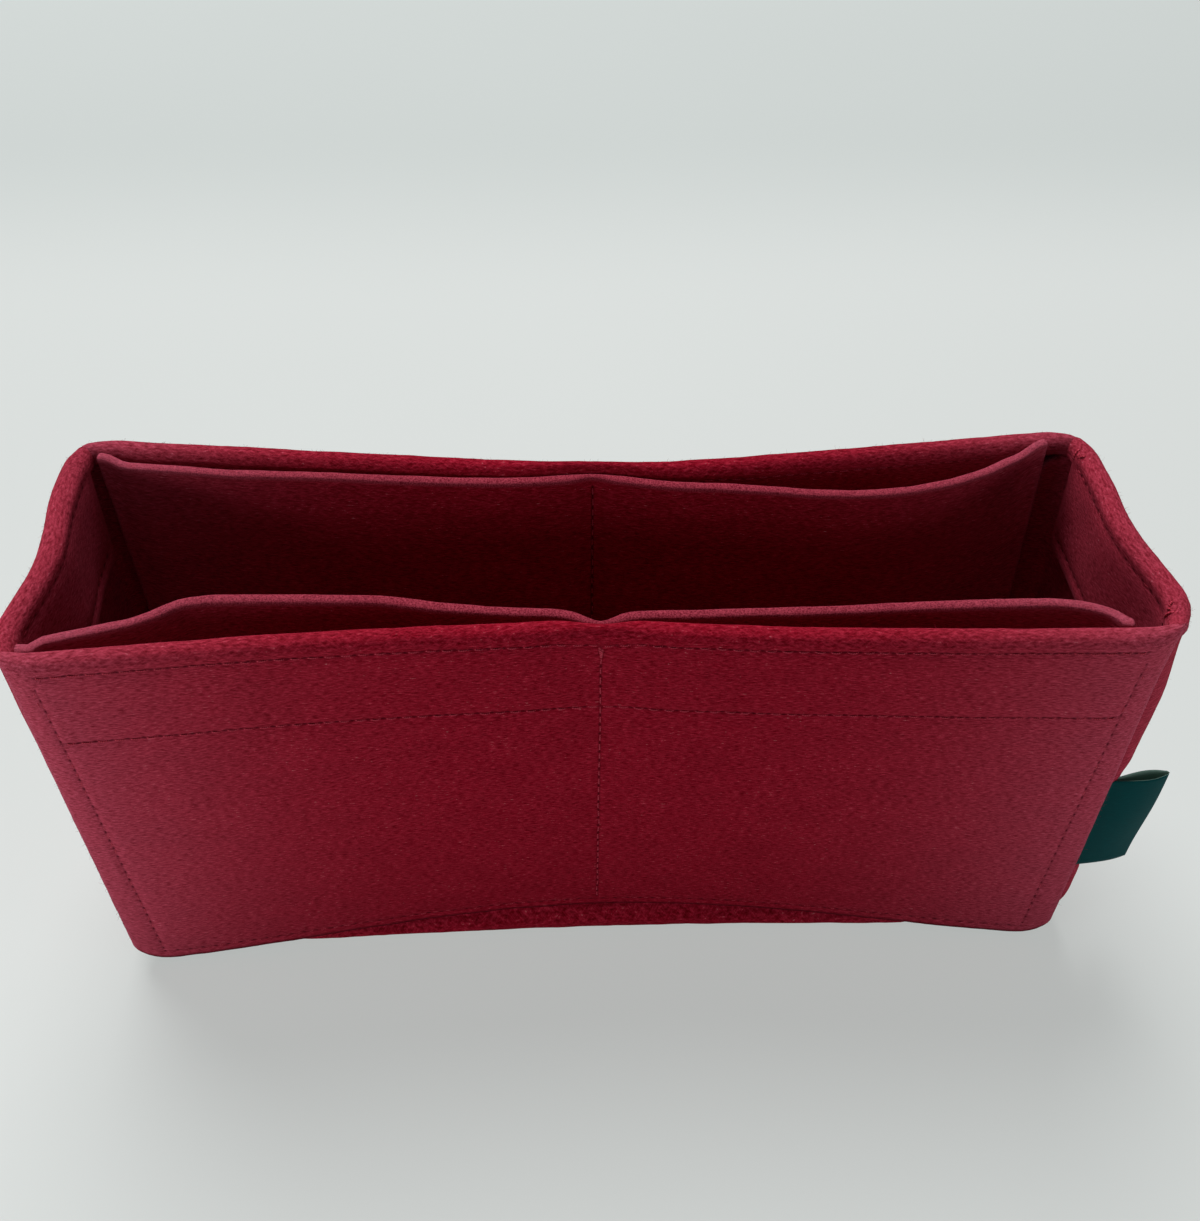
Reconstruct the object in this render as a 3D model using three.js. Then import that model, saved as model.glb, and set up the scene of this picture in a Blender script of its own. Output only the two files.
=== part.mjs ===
// Purse organizer insert: a soft open box sewn from felt, with four pockets inside.
// Millimetres, +Z up. The origin is the middle of the underside, the front wall faces -Y.
import * as THREE from 'three';
import { mergeVertices } from 'three/addons/utils/BufferGeometryUtils.js';

// Overall size, over the felt at the bottom corners
const WIDTH = 253;
const DEPTH = 74;
const HEIGHT = 120;

// Felt and how its layers lie on each other
const FELT = 2.8;
const LAYER_GAP = 0.3;
const FOLD_GAP = 0.3;

// Long walls
const WALL_INSET = 1.5;
const WALL_CORNER = 9;
const WALL_LIFT = 0.8;
const WALL_ARCH = 7;
const HEM = 30;

// Gusset: one strip that makes both ends and the base, its long edges turned in
const FLANGE = 12;
const FLANGE_BEND = 5;
const GUSSET_CORNER = 15;

// Pockets
const POCKET_DROP = 2;
const POCKET_FOOT = 8;
const POCKET_SIDE_CLEARANCE = 1.6;
const POCKET_SPLIT = 1;
const POCKET_RISE_POWER = 1.25;
const FRONT_LEFT_MOUTH = 11.5;
const FRONT_LEFT_PEAK = 0.27;
const FRONT_RIGHT_MOUTH = 7.8;
const FRONT_RIGHT_PEAK = 0.2;
const BACK_LEFT_MOUTH = 2;
const BACK_LEFT_PEAK = 0.5;
const BACK_RIGHT_MOUTH = 11.5;
const BACK_RIGHT_PEAK = 0.34;

// Ribbon label, folded double and caught in the front right seam
const RIBBON = 0.35;
const LABEL_OUT = 14;
const LABEL_TALL = 35;
const LABEL_BOTTOM = 33;
const LABEL_LOOP = 2.4;
const LABEL_LEAN = THREE.MathUtils.degToRad(10);

// Sewing thread
const THREAD = 0.8;
const THREAD_GAP = 0.25;
const RIM_STITCH = 7;
const HEM_STITCH = 28;
const EDGE_STITCH = 6.5;
const FOOT_STITCH = 4;
const MIDDLE_STITCH_TOP = 9;
const EDGE_STITCH_TOP = 8;

// How the soft felt settles: walls sag in between the corners and flare at the rim
const FRONT_RIM_BOW = 5.5;
const FRONT_FOOT_BOW = 9.4;
const BACK_RIM_BOW = 10.5;
const BACK_FOOT_BOW = 8;
const BASE_BOW = 2;
const FRONT_FLARE = 3.5;
const BACK_FLARE = 1.5;
const END_FLARE = 1.5;
const END_BOW = 2.5;
const BOW_POWER = 1.5;
const SHOULDER_TOP = 1.8;
const SHOULDER_RISE = 3.7;

// Fineness of the bent sheets
const WALL_COLUMNS = 14;
const WALL_ROWS = 4;
const CORNER_STEPS = 4;
const FOLD_STEPS = 6;
const BEND_STEPS = 3;
const END_COLUMNS = 4;
const POCKET_COLUMNS = 9;
const POCKET_ROWS = 5;

// Sizes that follow
const FOLD = FELT + FOLD_GAP / 2;
const WALL_HALF = WIDTH / 2 - WALL_INSET;
const GUSSET_HALF = DEPTH / 2 - FELT - LAYER_GAP;
const FLAP_HALF = WIDTH / 2 - FLANGE - LAYER_GAP;
const POCKET_LAYER = 2 * FELT + FOLD_GAP + LAYER_GAP;
const END_FLAP_HALF = DEPTH / 2 - POCKET_LAYER - FELT - LAYER_GAP;
const POCKET_HALF = WIDTH / 2 - 2 * FOLD - POCKET_SIDE_CLEARANCE;
const POCKET_TOP = HEIGHT - POCKET_DROP;
const WALL_LAYERS = POCKET_LAYER + FELT;

const FRONT = -1;
const BACK = 1;
const LEFT = -1;
const RIGHT = 1;
const { lerp, smoothstep, clamp } = THREE.MathUtils;

const felt = new THREE.MeshStandardMaterial({ color: 0x7d1426, roughness: 0.95, metalness: 0 });
const pocketFelt = new THREE.MeshStandardMaterial({ color: 0x8a2134, roughness: 0.95, metalness: 0 });
const ribbon = new THREE.MeshStandardMaterial({ color: 0x0b3a34, roughness: 0.45, metalness: 0 });
const thread = new THREE.MeshStandardMaterial({ color: 0x6a1020, roughness: 0.6, metalness: 0 });

// Even stations from a to b, both ends included.
function stations(a, b, steps) {
  return Array.from({ length: steps + 1 }, (_, k) => lerp(a, b, k / steps));
}

// 1 at the middle of a span, 0 at its ends and beyond.
function hump(x, span) {
  const share = clamp(Math.abs(x) / span, 0, 0.5);
  return Math.cos(Math.PI * share) ** BOW_POWER;
}

// Height of a long wall's lower edge, which lifts off the table between the corners.
function wallFoot(x) {
  return WALL_LIFT + WALL_ARCH * hump(x, WIDTH);
}

// How far in from the straight box a long wall stands. Below the wall's foot the base stays
// nearly straight, so that its folded edge shows as a rounded shoulder under the wall.
function wallBow(side, x, z) {
  const foot = side === FRONT ? FRONT_FOOT_BOW : BACK_FOOT_BOW;
  const rim = side === FRONT ? FRONT_RIM_BOW : BACK_RIM_BOW;
  const bow = lerp(foot, rim, clamp(z / HEIGHT, 0, 1));
  const shoulder = wallFoot(x) - SHOULDER_TOP;
  return hump(x, WIDTH) * lerp(BASE_BOW, bow, smoothstep(z, shoulder - SHOULDER_RISE, shoulder));
}

// Moves a point of the straight box to where the soft felt holds it.
function settle(x, y, z) {
  const side = y < 0 ? FRONT : BACK;
  const flare = side === FRONT ? FRONT_FLARE : BACK_FLARE;
  const inWall = Math.min(1, Math.abs(y) / (DEPTH / 2 - WALL_LAYERS));
  const lean = flare * z / HEIGHT - wallBow(side, x, z);
  const spread = (END_FLARE - END_BOW * hump(y, DEPTH)) * z / HEIGHT;
  const reach = x / (WIDTH / 2);
  return new THREE.Vector3(x + reach * spread, y + side * inWall * lean, z);
}

// A sheet cut on a grid of stations and bent into shape. place(u, v, face) gives a corner on the
// outer face (0) or the inner face (1), and keep(i, j) says which cells the cut leaves.
function bentSheet(us, vs, place, keep = () => true) {
  const points = [];
  for (const v of vs) {
    for (const u of us) {
      points.push(place(u, v, 0), place(u, v, 1));
    }
  }
  const corner = (i, j, face) => (j * us.length + i) * 2 + face;
  const inside = (i, j) => i >= 0 && j >= 0 && i < us.length - 1 && j < vs.length - 1 && keep(i, j);
  const faces = [];
  const quad = (a, b, c, d) => faces.push(a, b, c, a, c, d);
  const edge = (i0, j0, i1, j1) => {
    quad(corner(i0, j0, 0), corner(i0, j0, 1), corner(i1, j1, 1), corner(i1, j1, 0));
  };
  for (let j = 0; j < vs.length - 1; j += 1) {
    for (let i = 0; i < us.length - 1; i += 1) {
      if (!inside(i, j)) continue;
      quad(corner(i, j, 0), corner(i + 1, j, 0), corner(i + 1, j + 1, 0), corner(i, j + 1, 0));
      quad(corner(i, j, 1), corner(i, j + 1, 1), corner(i + 1, j + 1, 1), corner(i + 1, j, 1));
      if (!inside(i, j - 1)) edge(i, j, i + 1, j);
      if (!inside(i + 1, j)) edge(i + 1, j, i + 1, j + 1);
      if (!inside(i, j + 1)) edge(i + 1, j + 1, i, j + 1);
      if (!inside(i - 1, j)) edge(i, j + 1, i, j);
    }
  }
  const sheet = new THREE.BufferGeometry().setFromPoints(points);
  sheet.setIndex(faces);
  return facingOut(mergeVertices(sheet.toNonIndexed()));
}

// Turns every face round where a body came out inside out.
function facingOut(body) {
  const place = body.attributes.position;
  const index = body.index.array;
  const [a, b, c] = [new THREE.Vector3(), new THREE.Vector3(), new THREE.Vector3()];
  let volume = 0;
  for (let k = 0; k < index.length; k += 3) {
    a.fromBufferAttribute(place, index[k]);
    b.fromBufferAttribute(place, index[k + 1]);
    c.fromBufferAttribute(place, index[k + 2]);
    volume += a.dot(b.cross(c));
  }
  if (volume < 0) index.reverse();
  body.computeVertexNormals();
  return body;
}

// A turned-over hem seen end on: depth is how far in from the outer face, fall is how far below
// the rim. turn runs from 0 on the outside over the rim to PI on the inside.
function foldPoint(turn, face) {
  const radius = FOLD - face * FELT;
  return { depth: FOLD - radius * Math.cos(turn), fall: FOLD - radius * Math.sin(turn) };
}

// Rows of a hem after the sheet reaches the fold: round the fold, then down the flap.
function hemRows() {
  const fold = stations(0, Math.PI, FOLD_STEPS).slice(1).map((turn) => ({ turn, drop: 0 }));
  return [...fold, { turn: Math.PI, drop: HEM - FOLD }];
}

// Front or back wall: rounded lower corners, and a top edge folded over inwards between the seams.
function longWall(side) {
  const columns = [-WALL_HALF, ...stations(-FLAP_HALF, FLAP_HALF, WALL_COLUMNS), WALL_HALF];
  const corner = stations(0, Math.PI / 2, CORNER_STEPS).map((turn) => ({ turn, corner: true }));
  const plain = stations(0, 1, WALL_ROWS).slice(1).map((share) => ({ share }));
  const rows = [...corner, ...plain, ...hemRows()];
  const foldStart = corner.length + plain.length - 1;
  const flapStart = foldStart + FOLD_STEPS / 2;
  const place = (x, row, face) => {
    if (row.corner) {
      const half = WALL_HALF - WALL_CORNER * (1 - Math.sin(row.turn));
      const across = clamp(x, -half, half);
      const z = wallFoot(x) + WALL_CORNER * (1 - Math.cos(row.turn));
      return settle(across, side * (DEPTH / 2 - face * FELT), z);
    }
    if (row.share !== undefined) {
      const z = lerp(wallFoot(x) + WALL_CORNER, HEIGHT - FOLD, row.share);
      return settle(x, side * (DEPTH / 2 - face * FELT), z);
    }
    const { depth, fall } = foldPoint(row.turn, face);
    return settle(x, side * (DEPTH / 2 - depth), HEIGHT - fall - row.drop);
  };
  const lastColumn = columns.length - 2;
  const keep = (i, j) => j < flapStart || (i > 0 && i < lastColumn);
  return bentSheet(columns, rows, place, keep);
}

// Section across the gusset: turned-in edge, bend, flat, bend, turned-in edge.
// Each station is (across, depth) on the outer and the inner face.
function gussetSection() {
  const bendHalf = GUSSET_HALF - FLANGE_BEND;
  const oneBend = stations(0, Math.PI / 2, BEND_STEPS).map((turn) => {
    return [FLANGE_BEND, FLANGE_BEND - FELT].map((radius) => ({
      across: bendHalf + radius * Math.cos(turn),
      depth: FLANGE_BEND - radius * Math.sin(turn),
    }));
  });
  const edges = stations(FLANGE, FLANGE_BEND, 2).slice(0, 2).map((depth) => {
    return [GUSSET_HALF, GUSSET_HALF - FELT].map((across) => ({ across, depth }));
  });
  const backHalf = [...edges, ...oneBend];
  const frontHalf = backHalf.map((faces) => faces.map(({ across, depth }) => ({ across: -across, depth })));
  const flat = stations(-END_FLAP_HALF, END_FLAP_HALF, END_COLUMNS).map((across) => {
    return [0, FELT].map((depth) => ({ across, depth }));
  });
  return { bend: backHalf.length, columns: [...frontHalf, ...flat, ...backHalf.reverse()] };
}

// Route of the gusset's outer face seen from the front: hem, left end, base, right end, hem.
function gussetRoute() {
  const top = HEIGHT - FOLD;
  const floorHalf = WIDTH / 2 - GUSSET_CORNER;
  const hem = hemRows().map((row) => ({ ...row, hem: true }));
  const end = stations(top, GUSSET_CORNER, WALL_ROWS).map((z) => ({ out: WIDTH / 2, z, nx: 1, nz: 0 }));
  const bend = stations(0, Math.PI / 2, CORNER_STEPS + 1).slice(1, -1).map((turn) => ({
    out: floorHalf + GUSSET_CORNER * Math.cos(turn),
    z: GUSSET_CORNER * (1 - Math.sin(turn)),
    nx: Math.cos(turn),
    nz: -Math.sin(turn),
  }));
  const rightUp = [...hem.reverse(), ...end, ...bend].reverse().map((row) => ({ ...row, side: RIGHT }));
  const leftDown = rightUp.map((row) => ({ ...row, side: LEFT })).reverse();
  const floor = stations(-floorHalf, floorHalf, WALL_COLUMNS);
  const base = floor.map((out) => ({ out, z: 0, nx: 0, nz: -1, side: RIGHT }));
  return { hem: hem.length, rows: [...leftDown, ...base, ...rightUp] };
}

// One strip of felt for both ends and the base, with hemmed tops.
function gusset() {
  const section = gussetSection();
  const route = gussetRoute();
  const place = (faces, row, face) => {
    const { across, depth } = faces[face];
    if (row.hem) {
      const fold = foldPoint(row.turn, depth / FELT);
      const x = row.side * (WIDTH / 2 - fold.depth);
      return settle(x, across, HEIGHT - fold.fall - row.drop);
    }
    return settle(row.side * (row.out - depth * row.nx), across, row.z - depth * row.nz);
  };
  const lastColumn = section.columns.length - 1;
  const lastRow = route.rows.length - 1;
  const keep = (i, j) => {
    const inHem = j < route.hem || j >= lastRow - route.hem;
    return !inHem || (i >= section.bend && i < lastColumn - section.bend);
  };
  return bentSheet(section.columns, route.rows, place, keep);
}

// Share of the mouth's gap at a place along a pocket, 0 at the end seam and 1 at the middle seam.
function mouthShape(along, peak) {
  const quarter = Math.PI / 2;
  return along < peak
    ? Math.sin(quarter * along / peak)
    : Math.cos(quarter * (along - peak) / (1 - peak));
}

// Half of an inner panel, sewn at the end, the foot and the middle, its mouth bulging inwards.
function pocket(side, end, mouth, peak) {
  const columns = stations(0, 1, POCKET_COLUMNS);
  const rows = stations(0, 1, POCKET_ROWS);
  const place = (along, rise, face) => {
    const x = end * lerp(POCKET_HALF, POCKET_SPLIT / 2, along);
    const z = lerp(POCKET_FOOT, POCKET_TOP, rise);
    const point = settle(x, side * (DEPTH / 2 - POCKET_LAYER - face * FELT), z);
    point.y -= side * mouth * mouthShape(along, peak) * rise ** POCKET_RISE_POWER;
    return point;
  };
  return bentSheet(columns, rows, place);
}

// Folded ribbon: out along the front ply, round the loop and back to the seam.
function label() {
  const loop = LABEL_LOOP / 2;
  const reach = LABEL_OUT - loop;
  const plyTurn = Math.PI / 2;
  const root = [RIBBON + LAYER_GAP / 2, LAYER_GAP / 2];
  const round = stations(-plyTurn, plyTurn, FOLD_STEPS).map((turn) => {
    return [loop, loop - RIBBON].map((radius) => {
      return new THREE.Vector2(reach + radius * Math.cos(turn), radius * Math.sin(turn));
    });
  });
  const frontRoot = root.map((half) => new THREE.Vector2(0, -half));
  const backRoot = root.map((half) => new THREE.Vector2(0, half));
  const route = [frontRoot, ...round, backRoot];
  const seamX = WALL_HALF + LAYER_GAP + RIBBON;
  const seamY = -DEPTH / 2 + FELT + RIBBON + LAYER_GAP / 2;
  const place = (z, plies, face) => {
    const flat = plies[face].clone().rotateAround(new THREE.Vector2(), LABEL_LEAN);
    return settle(seamX + flat.x, seamY + flat.y, z);
  };
  return bentSheet([LABEL_BOTTOM, LABEL_BOTTOM + LABEL_TALL], route, place);
}

// A line of stitching along points on the straight box's faces: one thread, square in section,
// that lies on the face whose outward direction is given. A point's lift raises it off that face.
function stitching(points, outward) {
  const route = points.map((point, k) => {
    const before = points[Math.max(k - 1, 0)];
    const after = points[Math.min(k + 1, points.length - 1)];
    const across = new THREE.Vector3().subVectors(after, before).cross(outward).normalize();
    return { point, across };
  });
  const place = (u, { point, across }, face) => {
    const height = THREAD_GAP + (point.lift ?? 0) + (1 - face) * THREAD;
    const spot = new THREE.Vector3().copy(point);
    spot.addScaledVector(across, u).addScaledVector(outward, height);
    return settle(spot.x, spot.y, spot.z);
  };
  return bentSheet([-THREAD / 2, THREAD / 2], route, place);
}

// Points and outward direction of a run of stitching on the front or back wall.
function wallStitching(side, points) {
  const y = side * DEPTH / 2;
  return stitching(points.map((point) => ({ ...point, y })), new THREE.Vector3(0, side, 0));
}

// Straight run across a long wall, a set distance below the rim, between its end seams.
function wallRow(side, below) {
  const half = WALL_HALF - EDGE_STITCH - THREAD - THREAD_GAP;
  return wallStitching(side, stations(-half, half, WALL_COLUMNS).map((x) => ({ x, z: HEIGHT - below })));
}

// Upright run down the middle of a long wall, which divides the panel behind it into two pockets.
// It steps over the hem's row of stitching.
function middleSeam(side) {
  const crossing = HEIGHT - HEM_STITCH;
  const step = THREAD + THREAD_GAP;
  const top = stations(HEIGHT - MIDDLE_STITCH_TOP, crossing + 2 * step, 2);
  const over = [crossing + step, crossing - step];
  const low = stations(crossing - 2 * step, wallFoot(0) + FOOT_STITCH + step, WALL_ROWS);
  const flat = (z) => ({ x: 0, z });
  const raised = (z) => ({ x: 0, z, lift: step });
  return wallStitching(side, [...top.map(flat), ...over.map(raised), ...low.map(flat)]);
}

// Seam that holds a long wall to the gusset: down one edge, along the foot and up the other.
function edgeSeam(side) {
  const half = WALL_HALF - EDGE_STITCH;
  const turnHalf = half - WALL_CORNER;
  const turnFoot = WALL_LIFT + FOOT_STITCH + WALL_CORNER;
  const up = stations(HEIGHT - EDGE_STITCH_TOP, turnFoot, WALL_ROWS).map((z) => ({ x: half, z }));
  const bend = stations(0, Math.PI / 2, CORNER_STEPS).slice(1, -1).map((turn) => ({
    x: turnHalf + WALL_CORNER * Math.cos(turn),
    z: turnFoot - WALL_CORNER * Math.sin(turn),
  }));
  const right = [...up, ...bend];
  const left = right.map(({ x, z }) => ({ x: -x, z }));
  const foot = stations(-turnHalf, turnHalf, WALL_COLUMNS).map((x) => ({ x, z: wallFoot(x) + FOOT_STITCH }));
  return wallStitching(side, [...left, ...foot, ...right.reverse()]);
}

// Run across one end, a set distance below the rim.
function endRow(end, below) {
  const across = stations(-END_FLAP_HALF, END_FLAP_HALF, END_COLUMNS);
  const points = across.map((y) => ({ x: end * WIDTH / 2, y, z: HEIGHT - below }));
  return stitching(points, new THREE.Vector3(end, 0, 0));
}

const organizer = new THREE.Group();

function add(name, geometry, material) {
  const mesh = new THREE.Mesh(geometry, material);
  mesh.name = name;
  organizer.add(mesh);
}

add('front_wall', longWall(FRONT), felt);
add('back_wall', longWall(BACK), felt);
add('gusset', gusset(), felt);
add('front_left_pocket', pocket(FRONT, LEFT, FRONT_LEFT_MOUTH, FRONT_LEFT_PEAK), pocketFelt);
add('front_right_pocket', pocket(FRONT, RIGHT, FRONT_RIGHT_MOUTH, FRONT_RIGHT_PEAK), pocketFelt);
add('back_left_pocket', pocket(BACK, LEFT, BACK_LEFT_MOUTH, BACK_LEFT_PEAK), pocketFelt);
add('back_right_pocket', pocket(BACK, RIGHT, BACK_RIGHT_MOUTH, BACK_RIGHT_PEAK), pocketFelt);
add('label', label(), ribbon);

for (const [name, side] of [['front', FRONT], ['back', BACK]]) {
  add(`${name}_rim_stitching`, wallRow(side, RIM_STITCH), thread);
  add(`${name}_hem_stitching`, wallRow(side, HEM_STITCH), thread);
  add(`${name}_edge_seam`, edgeSeam(side), thread);
  add(`${name}_middle_seam`, middleSeam(side), thread);
}
for (const [name, end] of [['left', LEFT], ['right', RIGHT]]) {
  add(`${name}_rim_stitching`, endRow(end, RIM_STITCH), thread);
  add(`${name}_hem_stitching`, endRow(end, HEM_STITCH), thread);
}

export default organizer;
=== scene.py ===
"""Purse organizer insert sewn from crimson felt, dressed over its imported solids.

Shapes are in millimetres, in the part's own frame, until a mesh is made of them.
"""

import math

import bpy
import numpy as np
from mathutils import Matrix, Vector, noise


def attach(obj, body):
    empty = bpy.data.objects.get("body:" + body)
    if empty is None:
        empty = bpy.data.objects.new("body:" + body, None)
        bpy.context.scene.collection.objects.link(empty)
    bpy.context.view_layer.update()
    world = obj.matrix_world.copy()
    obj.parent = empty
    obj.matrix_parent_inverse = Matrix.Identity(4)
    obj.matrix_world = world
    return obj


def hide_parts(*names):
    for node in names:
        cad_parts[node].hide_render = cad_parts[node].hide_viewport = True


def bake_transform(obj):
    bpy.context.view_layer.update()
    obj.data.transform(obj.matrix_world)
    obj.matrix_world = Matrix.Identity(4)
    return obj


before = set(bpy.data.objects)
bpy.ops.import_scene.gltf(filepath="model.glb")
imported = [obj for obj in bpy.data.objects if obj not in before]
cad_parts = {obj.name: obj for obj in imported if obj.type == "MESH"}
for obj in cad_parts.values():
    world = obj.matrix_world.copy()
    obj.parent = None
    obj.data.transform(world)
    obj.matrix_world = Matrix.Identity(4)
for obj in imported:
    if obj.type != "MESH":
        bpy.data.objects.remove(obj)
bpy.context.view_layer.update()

MM = 0.001
FRONT, BACK = -1, 1
LEFT, RIGHT = -1, 1
SIDES = {"front": FRONT, "back": BACK}
ENDS = {"left": LEFT, "right": RIGHT}

# Overall size and felt, as in the solids
WIDTH, DEPTH, HEIGHT = 253.0, 74.0, 120.0
FELT = 2.8
LAYER_GAP = 0.3
FOLD = FELT + LAYER_GAP / 2
HEM = 30.0
FLAP = HEM - FOLD
RIM_FOOT = HEIGHT - FOLD
FOLD_ARC = math.pi * (FOLD - FELT / 2)
TRIM_SHARE = 0.95

# Long walls
WALL_INSET = 1.5
WALL_HALF = WIDTH / 2 - WALL_INSET
WALL_CORNER = 9.0
WALL_LIFT = 0.8
WALL_ARCH = 7.0
WALL_TRIM = (111.0, 114.0)
LOWER_ZONE = 40.0

# Gusset
FLANGE = 12.0
FLANGE_BEND = 5.0
GUSSET_CORNER = 15.0
GUSSET_HALF = DEPTH / 2 - FELT - LAYER_GAP
GUSSET_FLAT = GUSSET_HALF - FLANGE_BEND
BEND_ARC = math.pi / 2 * (FLANGE_BEND - FELT / 2)
GUSSET_REACH = GUSSET_FLAT + BEND_ARC + FLANGE - FLANGE_BEND
GUSSET_TRIM = (26.0, 30.5)
FLOOR_HALF = WIDTH / 2 - GUSSET_CORNER
CORNER_ARC = math.pi / 2 * (GUSSET_CORNER - FELT / 2)
END_START = FLOOR_HALF + CORNER_ARC
END_TOP = END_START + RIM_FOOT - GUSSET_CORNER
FLANGE_TRIM = (END_TOP - 5.0, END_TOP - 0.5)
STRAIGHT_PART = 24.0

# Pockets: wall, end, rise of the top edge at that end, place of the widest gap, and the top edge in plan
# as (distance from the middle, gap)
POCKET_CLEARANCE = 1.6
POCKET_HALF = WIDTH / 2 - 2 * FOLD - POCKET_CLEARANCE
POCKET_FOOT = 8.0
POCKET_TOP = 118.0
POCKET_LAYER = 2 * FELT + 2 * LAYER_GAP
POCKET_FACE = DEPTH / 2 - POCKET_LAYER
POCKET_RISE_POWER = 1.25
MOUTH_BLUR = 2.0
MOUTH_LEAD = 8.0
MOUTH_STATIONS = 400
END_RISE_START, END_RISE_FULL = 8.0, 1.0
SEAM_PINCH, PINCH_REACH = 0.6, 6.0
POCKETS = {
    "front_left_pocket": (FRONT, LEFT, 0.0, 86, (
        (0, 0), (7, 1.2), (16, 2.0), (25, 3.3), (35, 5.0), (42, 6.9), (48, 8.3), (66, 10.0), (84, 11.8),
        (89, 11.4), (94, 8.3), (99, 6.1), (113, 3.1), (116, 2.5), (117, 0.3), (122, 0.1),
    )),
    "front_right_pocket": (FRONT, RIGHT, 0.6, 92, (
        (0, 0), (5, 0.8), (11, 1.0), (19, 1.7), (34, 3.3), (57, 4.9), (70, 6.1), (82, 6.8), (99, 7.3),
        (105, 6.4), (109.2, 4.8), (111.2, 3.0), (111.8, 0.4), (114.5, 0.1),
    )),
    "back_left_pocket": (BACK, LEFT, 1.8, 86, (
        (0, 0), (12, 0), (27, 0.3), (47, 1.0), (63, 1.0), (75, 1.6), (86, 2.1), (98, 1.5), (112, 1.2),
        (116, 0.2), (119, 0.0),
    )),
    "back_right_pocket": (BACK, RIGHT, 3.6, 72, (
        (0, 0), (8, 0.1), (14, 0.6), (31, 2.6), (46, 5.8), (54, 7.9), (63, 9.4), (70, 10.0), (78, 9.8),
        (88, 8.3), (97, 5.4), (106, 0.9), (110, 0.2), (114, 0.0),
    )),
}

# How the soft felt settles: the rims are distances of the outer faces from the middle, as (x, distance)
FRONT_RIM = ((-126, 41.8), (-70, 36.9), (-40, 35.4), (-16, 34.7), (0, 33.1), (16, 35.8), (43, 38.0),
             (80, 39.5), (126, 40.4))
BACK_RIM = ((-126, 41.0), (-10, 27.8), (14, 27.0), (47, 29.9), (80, 33.5), (126, 38.6))
RIM_BLUR = 9.0
FRONT_FOOT_BOW, BACK_FOOT_BOW = 9.7, 8.0
FOOT_BOW_SHIFT = 2.6
HUMP_POWER = 1.5
BASE_BOW, BASE_BOW_SPAN = 2.0, 205.0
CENTRE_SQUEEZE = 0.45
FRONT_SQUEEZE_WIDTH, BACK_SQUEEZE_WIDTH = 7.0, 16.0
SQUEEZE_RISE = (4.0, 16.0)
END_FLARES = {LEFT: 4.2, RIGHT: 1.5}
END_SKEWS = {LEFT: 0.0, RIGHT: -1.0}
END_BOWS = {LEFT: 3.0, RIGHT: 1.4}
END_BOW_PLACE, END_BOW_WIDTH = -5.0, 15.0
SHOULDER_TOP, SHOULDER_RISE = -0.3, 2.4
PLAN_CORNER = 13.0
PLAN_ROUNDING_TOP = 114.0

# How far the gusset stands outside the long walls' edges, and where the front right corner and the label
# draw the two together: ranges across the strip, along the wall and in height
FRONT_STEPS, BACK_STEPS = {LEFT: 0.4, RIGHT: 3.4}, {LEFT: 0.4, RIGHT: 0.7}
STEP_FADE = (-28.0, 6.0)
CORNER_REACH, REACH_ALONG, REACH_UP = 1.6, (112.0, WALL_HALF), (104.0, 117.0)
CORNER_DRAW, DRAW_ACROSS, DRAW_UP = 0.7, (20.0, 33.0), (92.0, 116.0)
LABEL_DRAW, LABEL_DRAW_RISE = 0.25, 6.0

# Ribbon label
RIBBON = 0.35
LABEL_OUT = 14.8
LABEL_BOTTOM, LABEL_TALL = 30.2, 35.0
LABEL_LEAN = math.radians(10)
LABEL_EYE, EYE_AT_FOOT, EYE_SKEW, EYE_POWER = 2.9, 0.45, 1.5, 0.8
TIP_OUT, TIP_HALF = 0.35, 0.6
SWAY, SWAY_TURN, SWAY_START = 0.5, 5, 1
RIBBON_ROUND = RIBBON * 0.3
RIBBON_COLUMNS, RIBBON_ROWS = 81, 41

# Seams
STITCH = 3.4
RIM_STITCH, HEM_STITCH = 4.1, 25.9
ROW_DIP, ROW_DIP_HALF = 1.2, 10.0
EDGE_STITCH, FOOT_STITCH = 7.8, 3.6
EDGE_HALF = WALL_HALF - EDGE_STITCH
ROW_HALF, FLAP_ROW_HALF, END_ROW_HALF = EDGE_HALF - 1.0, 102.0, GUSSET_FLAT - 4.0
EDGE_SEAM_TOP, MIDDLE_SEAM_TOP, SEAM_BOTTOM = HEIGHT - 8.0, HEIGHT - 8.5, FOOT_STITCH + 1.5
MIDDLE_INSIDE = (0, POCKET_TOP - 3, 0, 13)
BESIDE_SEAM = 0.75

# Thread, heights from the felt's face
THREAD_RADIUS, KNOT_RADIUS = 0.17, 0.3
THREAD_SIDES, THREAD_RINGS = 7, 9
SUNK = 0.3
HOLE_WANDER = 0.1
STITCH_SPAN = (0.16, 0.84)
STITCH_ENDS, STITCH_TOP, STITCH_ARCH = -0.85, -0.1, 0.3
STITCH_SLACK = (0.7, 1.15)

# Ends of seams: the backstitch beside an edge seam's top, the thread tails on the rim's corners as (across,
# along) from and to, and the knots of the middle seam as (x, distance below the rim) from and to
BACKSTITCH_TOP, BACKSTITCH_FOOT, BACKSTITCH_LEAN = HEIGHT - 5.0, HEIGHT - 14.0, 0.5
BACKSTITCH_SHIFT, BACKSTITCH_SUNK = 0.7, 0.1
TAIL_CORNER = END_TOP + 0.62 * FOLD_ARC
TAILS = ((31.5, 0.0, 28.6, 2.4), (29.3, 0.6, 26.4, 1.3), (27.3, 1.2, 24.4, 0.3))
KNOTS = ((-0.4, 5.0, 0.3, 9.0), (0.45, 5.4, -0.25, 9.3), (-0.1, 5.8, 0.1, 9.6))
TAIL_RAISED, KNOT_RAISED = 0.25, 0.2

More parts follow.
